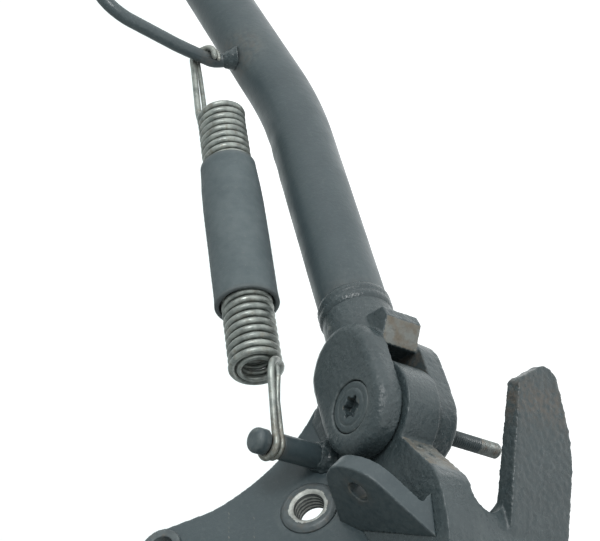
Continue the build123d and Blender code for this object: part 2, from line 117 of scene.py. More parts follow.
leg_a = 169.2 * pi / 180
LEG = piv_dir(cos(leg_a), sin(leg_a), 0)
LEG_SIDE = piv_dir(-sin(leg_a), cos(leg_a), 0)
SECOND = piv_dir(-0.9854, 0.064, 0.157)

# ---------------------------------------------------------------- camera
camera = bpy.data.objects.new("camera", bpy.data.cameras.new("camera"))
scene.collection.objects.link(camera)
scene.camera = camera
right = Vector((0.3065, -0.3143, -0.8985))
up = Vector((-0.5787, 0.6879, -0.4380))
back = right.cross(up).normalized()
up = back.cross(right).normalized()
turn = Matrix((right.normalized(), up, back)).transposed()
camera.matrix_world = Matrix.Translation((0.3599, 0.3922, 0.0204)) @ turn.to_4x4()
camera.data.lens = 89.1
camera.data.sensor_width = 36
camera.data.clip_start = 0.01
camera.data.clip_end = 50


# ---------------------------------------------------------------- shader helpers
class Shader:
    """A material under construction, with short names for the nodes it needs."""

    def __init__(self, name):
        self.material = bpy.data.materials.new(name)
        self.material.use_nodes = True
        self.tree = self.material.node_tree
        self.body = self.tree.nodes["Principled BSDF"]
        self.place = self.add("ShaderNodeTexCoord").outputs["Object"]

    def add(self, kind, **settings):
        node = self.tree.nodes.new(kind)
        for key, value in settings.items():
            setattr(node, key, value)
        return node

    def link(self, a, b):
        self.tree.links.new(a, b)

    def noise(self, scale, detail=3.0, rough=0.55, stretch=None):
        node = self.add("ShaderNodeTexNoise")
        node.inputs["Scale"].default_value = scale
        node.inputs["Detail"].default_value = detail
        node.inputs["Roughness"].default_value = rough
        source = self.place
        if stretch:
            mapping = self.add("ShaderNodeMapping")
            mapping.inputs["Scale"].default_value = stretch
            self.link(source, mapping.inputs["Vector"])
            source = mapping.outputs["Vector"]
        self.link(source, node.inputs["Vector"])
        return node.outputs["Fac"]

    def remap(self, source, low, high, to_low=0.0, to_high=1.0):
        node = self.add("ShaderNodeMapRange", interpolation_type="SMOOTHSTEP")
        self.link(source, node.inputs["Value"])
        node.inputs["From Min"].default_value = low
        node.inputs["From Max"].default_value = high
        node.inputs["To Min"].default_value = to_low
        node.inputs["To Max"].default_value = to_high
        return node.outputs["Result"]

    def math(self, how, a, b):
        node = self.add("ShaderNodeMath", operation=how)
        for socket, value in ((node.inputs[0], a), (node.inputs[1], b)):
            if isinstance(value, (int, float)):
                socket.default_value = value
            else:
                self.link(value, socket)
        return node.outputs[0]

    def mask(self, name):
        return self.add("ShaderNodeAttribute", attribute_name=name).outputs["Fac"]

    def colour(self, fac, a, b):
        node = self.add("ShaderNodeMix", data_type="RGBA")
        self.link(fac, node.inputs["Factor"])
        for socket, value in ((node.inputs[6], a), (node.inputs[7], b)):
            if isinstance(value, tuple):
                socket.default_value = (*value, 1)
            else:
                self.link(value, socket)
        return node.outputs[2]

    def blend(self, fac, a, b):
        node = self.add("ShaderNodeMix", data_type="FLOAT")
        self.link(fac, node.inputs["Factor"])
        for socket, value in ((node.inputs[2], a), (node.inputs[3], b)):
            if isinstance(value, (int, float)):
                socket.default_value = value
            else:
                self.link(value, socket)
        return node.outputs[0]

    def bumps(self, *layers):
        """Each layer is (height, strength, distance in metres)."""
        last = None
        for height, strength, distance in layers:
            node = self.add("ShaderNodeBump")
            node.inputs["Strength"].default_value = strength
            node.inputs["Distance"].default_value = distance
            self.link(height, node.inputs["Height"])
            if last is not None:
                self.link(last, node.inputs["Normal"])
            last = node.outputs["Normal"]
        self.link(last, self.body.inputs["Normal"])

    def out(self, **sockets):
        for name, value in sockets.items():
            socket = self.body.inputs[name.replace("_", " ")]
            if isinstance(value, (int, float, tuple)):
                socket.default_value = value
            else:
                self.link(value, socket)
        return self.material


def paint(name, dark, light, rough, pebble, pebble_size, sparkle=0.0, shine=0.5):
    """Old black paint: patchy gloss, orange peel, dust, chips on edges, bare and rusty places."""
    m = Shader(name)
    patches = m.noise(70, 5, 0.6)
    fine = m.noise(520, 4)
    grit = m.noise(1500, 3, 0.6)
    colour = m.colour(m.remap(patches, 0.25, 0.75), dark, light)
    dust = m.math("MULTIPLY", m.remap(m.noise(620, 5, 0.7), 0.5, 0.74), 0.3)
    dust = m.math("ADD", dust, m.math("MULTIPLY", m.mask("dust"), m.remap(fine, 0.3, 0.65)))
    dust = m.math("MINIMUM", dust, 1.0)
    colour = m.colour(dust, colour, (0.088, 0.104, 0.104))
    edge = m.add("ShaderNodeNewGeometry").outputs["Pointiness"]
    chips = m.math("MULTIPLY", m.remap(edge, 0.53, 0.6), m.remap(m.noise(300, 4), 0.5, 0.66))
    chips = m.math("MULTIPLY", chips, 0.55)
    colour = m.colour(chips, colour, (0.19, 0.2, 0.185))
    rust = m.math("MULTIPLY", m.mask("rust"), m.remap(m.noise(380, 5, 0.7), 0.36, 0.62))
    colour = m.colour(rust, colour, (0.105, 0.077, 0.055))
    ragged = m.math("MULTIPLY", m.math("SUBTRACT", m.noise(260, 5, 0.7), 0.5), 1.3)
    bare = m.remap(m.math("ADD", m.mask("bare"), ragged), 0.4, 0.66)
    worn = m.colour(m.remap(m.noise(210, 4), 0.35, 0.68), (0.15, 0.158, 0.148), (0.12, 0.105, 0.082))
    colour = m.colour(bare, colour, worn)
    gloss = m.remap(m.noise(90, 4), 0.3, 0.75, rough - 0.05, rough + 0.08)
    gloss = m.blend(dust, gloss, 0.66)
    gloss = m.blend(m.math("MAXIMUM", rust, bare), gloss, 0.5)
    m.bumps(
        (m.noise(1000.0 / pebble_size, 3, 0.55), pebble, 0.0004),
        (grit, 0.3 + sparkle, 0.00016),
    )
    return m.out(
        Base_Color=colour,
        Roughness=gloss,
        Metallic=m.math("MULTIPLY", bare, 0.3),
        Specular_IOR_Level=shine,
    )


def steel(name, clean, dirty, rust_colour, rough, metallic=1.0):
    """Bare or plated steel with dirt and a little rust."""
    m = Shader(name)
    fine = m.noise(700, 4, 0.6)
    colour = m.colour(m.remap(m.noise(240, 5, 0.65), 0.36, 0.66), clean, dirty)
    rust = m.math("MULTIPLY", m.remap(m.noise(330, 5, 0.7), 0.5, 0.68), 0.55)
    rust = m.math("MAXIMUM", rust, m.math("MULTIPLY", m.mask("rust"), m.remap(fine, 0.3, 0.6)))
    colour = m.colour(rust, colour, rust_colour)
    gloss = m.remap(fine, 0.3, 0.7, rough - 0.08, rough + 0.12)
    m.bumps((m.noise(1600, 3), 0.35, 0.00012), (m.noise(500, 3), 0.2, 0.0003))
    metal = m.blend(rust, metallic, 0.25)
    return m.out(Base_Color=colour, Roughness=gloss, Metallic=metal)


def rubber(name):
    m = Shader(name)
    cloudy = m.remap(m.noise(70, 5, 0.6), 0.3, 0.7)
    colour = m.colour(cloudy, (0.06, 0.079, 0.085), (0.082, 0.103, 0.109))
    specks = m.remap(m.noise(900, 3, 0.6), 0.62, 0.74)
    colour = m.colour(m.math("MULTIPLY", specks, 0.5), colour, (0.13, 0.135, 0.13))
    colour = m.colour(m.math("MULTIPLY", m.mask("dust"), 0.6), colour, (0.12, 0.125, 0.12))
    gloss = m.remap(m.noise(300, 3), 0.3, 0.7, 0.62, 0.8)
    m.bumps((m.noise(2200, 2), 0.3, 0.00015), (m.noise(240, 3), 0.25, 0.0005))
    return m.out(Base_Color=colour, Roughness=gloss, Specular_IOR_Level=0.42, Metallic=0.0)


cast_paint = paint(
    "cast_paint", (0.028, 0.040, 0.044), (0.036, 0.050, 0.054), 0.27, 0.85, 1.5, 0.4, 0.45
)
steel_paint = paint(
    "steel_paint", (0.032, 0.047, 0.053), (0.041, 0.058, 0.064), 0.35, 0.3, 2.6, 0.0, 0.5
)
weld_paint = paint(
    "weld_paint", (0.027, 0.039, 0.043), (0.036, 0.05, 0.054), 0.22, 0.6, 0.9, 0.3, 0.5
)
bolt_paint = paint(
    "bolt_paint", (0.03, 0.043, 0.047), (0.039, 0.053, 0.057), 0.32, 0.3, 1.2, 0.0, 0.45
)
bare_metal = steel(
    "bare_metal", (0.5, 0.52, 0.49), (0.3, 0.31, 0.29), (0.2, 0.175, 0.14), 0.45, 0.35
)
ring_metal = steel(
    "ring_metal", (0.08, 0.096, 0.1), (0.052, 0.065, 0.069), (0.1, 0.09, 0.075), 0.42, 0.1
)
bore_metal = steel(
    "bore_metal", (0.085, 0.095, 0.094), (0.05, 0.058, 0.059), (0.09, 0.08, 0.065), 0.4, 0.3
)
thread_metal = steel(
    "thread_metal", (0.2, 0.216, 0.207), (0.1, 0.108, 0.105), (0.14, 0.095, 0.06), 0.42, 0.7
)
wire_metal = steel(
    "wire_metal", (0.33, 0.355, 0.33), (0.18, 0.2, 0.19), (0.13, 0.105, 0.075), 0.38, 0.6
)
bush_metal = steel(
    "bush_metal", (0.4, 0.3, 0.16), (0.22, 0.165, 0.09), (0.12, 0.08, 0.05), 0.4, 0.9
)
sleeve_rubber = rubber("sleeve_rubber")


# ---------------------------------------------------------------- mesh helpers
def array_of(mesh, what="co"):
    values = np.zeros(len(mesh.vertices) * 3, np.float32)
    mesh.vertices.foreach_get(what, values)
    return values.reshape(-1, 3).astype(float)


def in_pivot(points):
    """Row-frame points in metres to pivot coordinates in mm."""
    return points @ BASIS.T * 1000


def set_mask(piece, name, values):
    layer = piece.data.attributes.new(name, "FLOAT", "POINT")
    layer.data.foreach_set("value", np.clip(values, 0, 1).astype(np.float32))


def rough_skin(points, size, seed):
    """Noise from about -1 to 1 at each point, with lumps of that size in mm."""
    f = 1000.0 / size
    off = Vector((seed * 1.7, seed * 0.9, seed * 2.3))
    return np.array([noise.noise(Vector(p) * f + off) for p in points])


def push(piece, amount):
    """Moves each vertex along its normal by that many mm."""
    mesh = piece.data
    points = array_of(mesh) + array_of(mesh, "normal") * np.asarray(amount)[:, None] * 0.001
    mesh.vertices.foreach_set("co", points.astype(np.float32).ravel())
    mesh.update()


def finish_piece(piece, material, body, nodes):
    piece.data.materials.clear()
    piece.data.materials.append(material)
    piece.data.polygons.foreach_set("use_smooth", [True] * len(piece.data.polygons))
    if body:
        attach(piece, body)
    if nodes:
        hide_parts(*nodes)
    return piece


def link(name, mesh):
    piece = bpy.data.objects.new(name, mesh)
    scene.collection.objects.link(piece)
    return piece


def skin(node, name, voxel, passes):
    """The CAD node's shape as a dense skin with its edges softened."""
    rough = link(name, frame["nodes"][node].data.copy())
    remesh = rough.modifiers.new("remesh", "REMESH")
    remesh.mode = "VOXEL"
    remesh.voxel_size = voxel * 0.001
    smooth = rough.modifiers.new("smooth", "SMOOTH")
    smooth.factor = 0.5
    smooth.iterations = passes
    graph = bpy.context.evaluated_depsgraph_get()
    done = bpy.data.meshes.new_from_object(rough.evaluated_get(graph))
    rough.modifiers.clear()
    rough.data = done
    for extra in [a.name for a in done.attributes if a.name.startswith("custom")]:
        done.attributes.remove(done.attributes[extra])
    return rough


def grid(name, rows, loop_rows=False, loop_cols=True):
    """A mesh over a grid of points: rows x columns x 3, in metres."""
    rows = np.asarray(rows, float)
    n, m = rows.shape[:2]
    faces = []
    for i in range(n if loop_rows else n - 1):
        for j in range(m if loop_cols else m - 1):
            i2, j2 = (i + 1) % n, (j + 1) % m
            faces.append((i * m + j, i * m + j2, i2 * m + j2, i2 * m + j))
    mesh = bpy.data.meshes.new(name)
    mesh.from_pydata(rows.reshape(-1, 3).tolist(), [], faces)
    shape = bmesh.new()
    shape.from_mesh(mesh)
    bmesh.ops.remove_doubles(shape, verts=shape.verts, dist=2e-6)
    bmesh.ops.recalc_face_normals(shape, faces=shape.faces)
    shape.to_mesh(mesh)
    shape.free()
    return link(name, mesh)


def lathe(name, profile, origin, axis, start, segments=96, change=None, closed=False):
    """Turns a profile of (along, radius) in mm round an axis; change(along, angle, radius) varies it."""
    axis = Vector(axis).normalized()
    e1 = Vector(start)
    e1 = (e1 - axis * e1.dot(axis)).normalized()
    e2 = axis.cross(e1)
    rows = []
    for along, radius in profile:
        row = []
        for j in range(segments):
            t = 2 * pi * j / segments
            r = radius if change is None or radius < 1e-6 else change(along, t, radius)
            row.append(Vector(origin) + (axis * along + (e1 * cos(t) + e2 * sin(t)) * r) * 0.001)
        rows.append(row)
    return grid(name, rows, loop_rows=closed)


def sweep(name, points, radii, segments=16, bulge=None):
    """A round bar along points in metres, radii in mm, with domed ends."""
    points = np.asarray(points, float)
    step = np.gradient(points, axis=0)
    step /= np.linalg.norm(step, axis=1)[:, None]
    side = np.cross(step[0], (0.31, 0.52, 0.79))
    radii = np.broadcast_to(np.asarray(radii, float), (len(points),)) * 0.001
    rows = []
    for i, p in enumerate(points):
        side = side - step[i] * side.dot(step[i])
        side /= np.linalg.norm(side)
        other = np.cross(step[i], side)
        rings = [(0.0, 1.0)]
        if i == 0:
            rings = [(-sin(a), cos(a)) for a in np.linspace(pi / 2, 0, 5)]
        if i == len(points) - 1:
            rings = [(sin(a), cos(a)) for a in np.linspace(0, pi / 2, 5)]
        for ahead, wide in rings:
            row = []
            for j in range(segments):
                t = 2 * pi * j / segments
                r = radii[i] * wide
                out = side * cos(t) + other * sin(t)
                if bulge is not None:
                    r *= bulge(i, out)
                row.append(p + step[i] * ahead * radii[i] + out * r)
            rows.append(row)
    return grid(name, rows)


def rounded(corners, radii, step=0.6):
    """Points along straight runs joined by arcs, spaced about step mm, from corners in metres."""
    corners = [Vector(c) * 1000 for c in corners]
    path = [corners[0]]
    for before, here, after, radius in zip(corners, corners[1:], corners[2:], radii):
        a, b = (before - here).normalized(), (after - here).normalized()
        half = a.angle(b) / 2
        cut = radius / max(1e-6, np.tan(half))
        start, end = here + a * cut, here + b * cut
        middle = here + (a + b).normalized() * (radius / sin(half))
        sweep_angle = pi - 2 * half
        count = max(3, int(radius * sweep_angle / step))
        v0, v1 = start - middle, end - middle
        for i in range(count + 1):
            a0, a1 = sin((1 - i / count) * sweep_angle), sin(i / count * sweep_angle)
            path.append(middle + (v0 * a0 + v1 * a1) / sin(sweep_angle))
    path.append(corners[-1])
    dense = [path[0]]
    for p in path[1:]:
        run = (p - dense[-1]).length
        if run < 0.02:
            continue
        for i in range(1, max(1, int(run / (step * 3))) + 1):
            count = max(1, int(run / (step * 3)))
            dense.append(dense[-1].lerp(p, 1 / (count - i + 1)))
    return [p * 0.001 for p in dense]


def near(values, centre, width):
    return np.exp(-((values - centre) / width) ** 2)


def mount_at(name):
    """Where the record puts a mount, in metres."""
    return [m for m in frame["record"]["mounts"] if m["name"] == name][0]["pos_m"]


# ---------------------------------------------------------------- bracket
LEDGE_ANGLE = 0.2618
casting = skin("pivot_casting", "casting_skin", 0.55, 7)
at = array_of(casting.data)
lumps = 0.13 * rough_skin(at, 2.1, 3) + 0.09 * rough_skin(at, 4.5, 5) + 0.2 * rough_skin(at, 16, 7)
uks = in_pivot(at)
machined = np.clip((20.6 - np.hypot(uks[:, 0], uks[:, 1])) / 0.8, 0, 1)
horn = np.clip((-uks[:, 2] - 17) / 4, 0, 1) * np.clip((uks[:, 1] - 8) / 8, 0, 1)
lumps = lumps + 0.24 * horn * rough_skin(at, 1.7, 9)
push(casting, lumps * (1 - machined))
facing = array_of(casting.data, "normal") @ BASIS.T
ledge = np.array((-sin(LEDGE_ANGLE), cos(LEDGE_ANGLE)))
height = uks[:, :2] @ ledge
ledge_wear = (facing[:, :2] @ ledge > 0.75) * near(height, 1.1, 1.8)
ledge_wear = ledge_wear * (uks[:, 0] > 17) * (uks[:, 0] < 38)
ledge_wear = ledge_wear * (np.abs(uks[:, 2]) < 8.5)
rim_wear = near(np.abs(uks[:, 2]), 7.4, 1.0) * near(np.hypot(uks[:, 0], uks[:, 1]), 20, 1.4) * 0.55
set_mask(casting, "bare", ledge_wear * 0.62 + rim_wear * 0.5)
set_mask(casting, "rust", horn * 0.05 + near(uks[:, 0], 22, 7) * near(uks[:, 1], 36, 8) * 0.5)
set_mask(casting, "dust", 0.25 * near(uks[:, 2], -7.5, 3) * (uks[:, 0] > 20) + 0.1)
finish_piece(casting, cast_paint, "bracket", ["pivot_casting"])

plate = skin("mounting_plate", "plate_skin", 0.6, 6)
at = array_of(plate.data)
push(plate, 0.05 * rough_skin(at, 6, 11) + 0.06 * rough_skin(at, 20, 12))
BOSS_X, BOSS_Z = 12.8, 39.0
# two light scratches on the plate's face, from end to end as (x, z) in mm
SCRATCHES = (((-2.7, 66.0), (10.0, 69.8)), ((4.8, 58.2), (15.2, 61.4)))
ring = np.hypot(at[:, 0] * 1000 - BOSS_X, at[:, 2] * 1000 - BOSS_Z)
set_mask(plate, "dust", near(ring, 11.8, 1.2) * 0.35)
scratched = np.zeros(len(at))
for (x1, z1), (x2, z2) in SCRATCHES:
    run = np.array((x2 - x1, z2 - z1))
    rel = at[:, (0, 2)] * 1000 - (x1, z1)
    part = rel @ run / (run @ run)
    off_line = np.abs(rel @ np.array((run[1], -run[0]))) / np.linalg.norm(run)
    scratched += near(off_line, 0, 0.35) * (part > 0) * (part < 1) * (at[:, 1] > -0.011)
set_mask(plate, "bare", scratched * 0.62)
finish_piece(plate, steel_paint, "bracket", ["mounting_plate"])

tab = skin("gusset_tab", "tab_skin", 0.4, 6)
at = array_of(tab.data)
push(tab, 0.06 * rough_skin(at, 2.6, 21) + 0.1 * rough_skin(at, 9, 22))
tab_n = np.array((0.5225, 0.1652, 0.8365))
tab_n /= np.linalg.norm(tab_n)
centre = np.array(mount_at("tab_hole"))
away = at - centre
away = np.linalg.norm(away - np.outer(away @ tab_n, tab_n), axis=1) * 1000
set_mask(tab, "bare", near(away, 4.2, 0.7) * 0.5)
set_mask(tab, "dust", np.clip((at @ tab_n * 1000 - 36) / 1.0, 0, 1) * 0.35)
set_mask(tab, "rust", near(away, 5.0, 1.5) * 0.25)
finish_piece(tab, steel_paint, "bracket", ["gusset_tab"])

for node, name, voxel, lump in (
    ("post_weld", "post_bead", 0.28, 0.4),
    ("tab_weld", "tab_bead", 0.3, 0.35),
    ("plate_weld", "plate_bead", 0.35, 0.3),
):
    bead = skin(node, name, voxel, 4)
    at = array_of(bead.data)
    push(bead, lump * rough_skin(at, 1.8, 31) + 0.1)
    finish_piece(bead, weld_paint, "bracket", [node])

post = skin("spring_post", "post_body", 0.3, 4)
at = in_pivot(array_of(post.data))
push(post, 0.05 * rough_skin(array_of(post.data), 3, 41))
set_mask(post, "rust", near(at[:, 2], 32, 3) * 0.9)
set_mask(post, "dust", np.clip((at[:, 2] - 37.5) / 2, 0, 1) * 0.6)
set_mask(post, "bare", near(at[:, 2], 31.5, 2) * 0.3)
finish_piece(post, steel_paint, "bracket", ["spring_post"])

# threaded boss: raised ring with a bare rim and an M12 thread inside
hole = mount_at("threaded_hole")
boss_low, boss_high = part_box("threaded_boss")
boss_at = Vector((hole[0], 0, hole[2]))
face, floor_y = boss_high.y * 1000, boss_low.y * 1000
pitch = 1.75


def boss_thread(along, angle, radius):
    if radius > 5.7 or along > face - 0.9:
        return radius
    wave = abs(((along / pitch - angle / (2 * pi)) % 1.0) - 0.5) * 2
    fade = min(1.0, (face - 0.9 - along) / 0.8)
    return radius + fade * 0.62 * (wave - 0.15)


inside = [(y, 5.5) for y in np.arange(floor_y + 0.05, face - 0.9, 0.125)]
ring_profile = inside + [(face - 0.75, 5.75), (face - 0.3, 6.25), (face - 0.05, 6.6), (face, 6.9)]
ring_profile += [(face, 7.2), (face, 7.5), (face, 7.8), (face, 8.2), (face, 8.6), (face - 0.06, 9.0)]
ring_profile += [(face - 0.45, 9.7), (face - 1.0, 10.3), (face - 1.36, 10.8)]
ring_profile += [(face - 1.4, 8.9), (floor_y + 0.3, 8.9), (floor_y + 0.05, 8.7)]
boss = lathe("boss_ring", ring_profile, boss_at, PLATE, (1, 0, 0), 128, boss_thread, closed=True)
at = array_of(boss.data)
gap = np.hypot(at[:, 0] - boss_at.x, at[:, 2] - boss_at.z) * 1000
push(boss, 0.03 * rough_skin(at, 2, 51))
set_mask(boss, "rust", near(gap, 6.2, 0.7) * 0.12)
finish_piece(boss, ring_metal, "bracket", ["threaded_boss"])
boss.data.materials.append(bore_metal)
boss.data.materials.append(bare_metal)
for face_of in boss.data.polygons:
    reach = np.hypot(face_of.center.x - boss_at.x, face_of.center.z - boss_at.z) * 1000
    ragged = 7.25 + 0.55 * noise.noise(face_of.center * 420)
    face_of.material_index = 1 if reach < 5.75 else (2 if reach < ragged else 0)

bush_ring = skin("upper_hole_bush", "bush_ring", 0.3, 4)
push(bush_ring, 0.04 * rough_skin(array_of(bush_ring.data), 3, 55))
finish_piece(bush_ring, ring_metal, "bracket", ["upper_hole_bush"])

for node, material, slot in (
    ("thrust_washers", ring_metal, "bare_steel"),
    ("pivot_bush", bush_metal, "bush"),
):
    shown = frame["nodes"][node]
    shown.data.materials.clear()
    shown.data.materials.append(material)

# ---------------------------------------------------------------- leg
clevis = skin("clevis", "clevis_skin", 0.45, 6)
at = array_of(clevis.data)
uks = in_pivot(at)
along = at @ np.array(LEG) * 1000
across = at @ np.array(LEG_SIDE) * 1000
reach = np.hypot(uks[:, 0], uks[:, 1])
flat = near(reach, 9.5, 3.0) * (uks[:, 2] > 10)
neck = np.clip((along - 38) / 6, 0, 1)
lumps = 0.12 * rough_skin(at, 2.0, 61) + 0.1 * rough_skin(at, 5, 62) + 0.12 * rough_skin(at, 15, 63)
bore = (reach < 10.6) | ((np.abs(uks[:, 2]) < 9) & (along < 24))
push(clevis, lumps * (1 - 0.75 * neck) * np.where(bore, 0.05, 1 - 0.6 * flat))
normal = array_of(clevis.data, "normal") @ BASIS.T
stop_face = np.array(LEG) * -0.618 + np.array(LEG_SIDE) * -0.786
block = (array_of(clevis.data, "normal") @ stop_face > 0.9) * (np.abs(uks[:, 2]) < 8.6) * (along > 20)
set_mask(clevis, "bare", block * 0.8)
inner_face = (np.abs(uks[:, 2] + 8.4) < 0.8) * (normal[:, 2] > 0.7) * (reach > 15) * 0.4
set_mask(clevis, "rust", inner_face)
set_mask(clevis, "dust", near(reach, 9.9, 0.8) * (uks[:, 2] > 11) * 0.6 + 0.12)
finish_piece(clevis, cast_paint, "leg", ["clevis"])

# tube: straight run, bend and run to the foot
bend_at = LEG * 170.0
SECOND_RUN = 148.0
BRACKET_PITCH = 25 * pi / 180
LEG_TRAVEL = 116 * pi / 180
foot_at = bend_at + SECOND * SECOND_RUN
ground = Vector((-sin(BRACKET_PITCH), 0, cos(BRACKET_PITCH)))
down = Matrix.Rotation(LEG_TRAVEL, 3, S_DIR) @ -ground
path = rounded([LEG * 0.0512, bend_at * 0.001, (foot_at + SECOND * 40) * 0.001], [200], 1.4)
path = np.array(path)
length = np.concatenate([[0], np.cumsum(np.linalg.norm(np.diff(path, axis=0), axis=1))]) * 1000
bend_in = (SECOND - LEG).normalized()


def tube_shape(i, out):
    """The bend flattens the tube a little and leaves small wrinkles on its inner side."""
    inner = max(0.0, Vector(out).dot(bend_in))
    zone = exp(-((length[i] - 113) / 26) ** 2)
    ripple = 0.012 * sin((length[i] - 91) * 0.42) * exp(-((length[i] - 95) / 16) ** 2)
    return 1 - 0.012 * zone * inner + ripple * inner ** 2


def cut_at_foot(piece):
    """Trims the end of the bar to the plane of the sole."""
    shape = bmesh.new()
    shape.from_mesh(piece.data)
    every = shape.verts[:] + shape.edges[:] + shape.faces[:]
    bmesh.ops.bisect_plane(
        shape, geom=every, plane_co=foot_at * 0.001, plane_no=down, clear_outer=True
    )
    edges = [e for e in shape.edges if e.is_boundary]
    bmesh.ops.holes_fill(shape, edges=edges)
    shape.to_mesh(piece.data)
    shape.free()


tube = sweep("tube_skin", path, 13.45, 112, tube_shape)
cut_at_foot(tube)
at = array_of(tube.data)
push(tube, 0.05 * rough_skin(at, 14, 71) + 0.025 * rough_skin(at, 4, 72))
weld_spot = np.array(piv(-203, 33, 14))
gap = np.linalg.norm(at - weld_spot, axis=1) * 1000
start = at @ np.array(LEG) * 1000
set_mask(tube, "dust", near(gap, 10, 6) * 0.5 + near(start, 55, 8) * 0.3)
set_mask(tube, "rust", near(gap, 9, 3) * 0.3 + near(start, 55, 2.5) * 0.08)
finish_piece(tube, steel_paint, "leg", ["leg_tube"])


def ripples(along, angle, radius):
    if radius <= 13.4:
        return radius
    stack = 0.5 + 0.5 * sin(angle * 44 + 0.9 * sin(angle * 5) + along * 1.1)
    return radius + 0.07 * stack * min(1, (radius - 13.4)) - 0.15


ring_rows = [(46.8, 12.9), (46.9, 13.5), (47.6, 14.0), (48.6, 14.4), (49.8, 14.45), (50.5, 14.2)]
ring_rows += [(51.1, 14.1), (51.9, 14.35), (53.2, 14.4), (54.3, 13.95), (55.0, 13.5), (55.1, 12.9)]
neck_bead = lathe("neck_bead", ring_rows, (0, 0, 0), LEG, S_DIR, 220, ripples, closed=True)
push(neck_bead, 0.09 * rough_skin(array_of(neck_bead.data), 3.2, 75))
finish_piece(neck_bead, weld_paint, "leg", ["neck_weld"])

for node, name, voxel, lump, material, slot in (
    ("foot_plate", "foot_skin", 0.5, 0.05, steel_paint, "black_steel"),
    ("foot_weld", "foot_bead", 0.35, 0.4, weld_paint, "weld"),
    ("toe_rod", "rod_skin", 0.35, 0.05, steel_paint, "black_steel"),
    ("rod_weld", "rod_bead", 0.3, 0.35, weld_paint, "weld"),
):
    piece = skin(node, name, voxel, 5)
    at = array_of(piece.data)
    push(piece, lump * rough_skin(at, 2.2, 81) + (0.1 if "weld" in node else 0))
    uks = in_pivot(at)
    if node == "toe_rod":
        set_mask(piece, "bare", 0.2 * np.clip((uks[:, 2] - 34) / 12, 0, 1))
        set_mask(piece, "rust", near(uks[:, 2], 30, 4) * 0.3)
        set_mask(piece, "dust", np.full(len(at), 0.2))
    if node == "foot_plate":
        sole_depth = np.array(foot_at) @ np.array(down) * 0.001
        sole = np.clip((at @ np.array(down) - sole_depth) * 1000 / 5, 0, 1)
        set_mask(piece, "bare", sole ** 3 * 0.75)
    finish_piece(piece, material, "leg", [node])

# bolt: head with its socket, and the stud with its thread
bolt = skin("pivot_bolt", "bolt_head", 0.22, 3)
shape = bmesh.new()
shape.from_mesh(bolt.data)
every = shape.verts[:] + shape.edges[:] + shape.faces[:]
bmesh.ops.bisect_plane(
    shape, geom=every, plane_co=S_DIR * -0.0181, plane_no=-S_DIR, clear_outer=True
)
bmesh.ops.holes_fill(shape, edges=[e for e in shape.edges if e.is_boundary])
shape.to_mesh(bolt.data)
shape.free()
at = array_of(bolt.data)
uks = in_pivot(at)
reach = np.hypot(uks[:, 0], uks[:, 1])
top = (uks[:, 2] > 16.9) * 1.0
push(bolt, -0.22 * top * near(reach, 6.9, 0.35) + 0.12 * top * near(reach, 5.6, 0.8))
set_mask(bolt, "dust", near(reach, 9.3, 0.5) * 0.7 + near(reach, 6.9, 0.4) * 0.6)
socket_wear = (near(reach, 4.4, 0.5) + near(reach, 9.0, 0.3) * 0.7) * 0.45
set_mask(bolt, "bare", socket_wear * (uks[:, 2] > 13))
finish_piece(bolt, bolt_paint, "leg", ["pivot_bolt"])


def stud_thread(along, angle, radius):
    if radius < 2.6 or along < 0.8:
        return radius
    wave = abs(((along - angle / (2 * pi)) % 1.0) - 0.5) * 2
    return radius - 0.55 * (0.85 - wave if wave < 0.85 else 0.0)


stud_length = 36.2
stud_rows = [(0.0, 0.0), (0.0, 3.0)]
stud_rows += [(z, 3.0) for z in np.arange(0.4, stud_length - 0.9, 0.125)]
stud_rows += [(stud_length - 0.4, 2.5), (stud_length, 2.1), (stud_length, 0.0)]
stud = lathe("bolt_stud", stud_rows, S_DIR * -0.0182, -S_DIR, (1, 0, 0), 48, stud_thread)
at = in_pivot(array_of(stud.data))
finish_piece(stud, bolt_paint, "leg", [])
stud.data.materials.append(thread_metal)
for face_of in stud.data.polygons:
    if in_pivot(np.array(face_of.center))[2] < -43.7:
        face_of.material_index = 1

# ---------------------------------------------------------------- springs
coil_top = Vector((-167.64, 18.76, 30.0))
coil_low = Vector((-39.17, -21.95, 30.0))
coil_dir = (coil_low - coil_top).normalized()
coil_side = Vector((-coil_dir.y, coil_dir.x, 0))
post_c, rod_c = Vector((-5.0, -27.5, 0)), Vector((-206.0, 25.3, 0))
pull = (post_c - rod_c).normalized()
pull_side = Vector((-pull.y, pull.x, 0))
coil_run = (coil_low - coil_top).length


def hermite(a, ta, b, tb, count):
    rows = []
    for i in range(1, count):
        t = i / count
        rows.append(
            a * (2 * t ** 3 - 3 * t * t + 1) + ta * (t ** 3 - 2 * t * t + t)
            + b * (-2 * t ** 3 + 3 * t * t) + tb * (t ** 3 - t * t)
        )
    return rows


def hook(centre, out, side, reach, near_s, far_s, run):
    """Points of a hook in pivot coordinates: straight run, round the pin, short tail."""
    def spot(p, s):
        return Vector((p.x, p.y, s))

    first = spot(centre + out * reach - side * reach, near_s)
    second = spot(centre + out * reach + side * reach, far_s)
    tail = spot(centre - out * 2.6 + side * reach, far_s)
    corners = [Vector((u, k, near_s)) for u, k in run] + [first, second, tail]
    radii = [5.0] * (len(run) - 1) + [reach * 0.93, reach * 0.93]
    return rounded([c * 0.001 for c in corners], radii, 0.5)


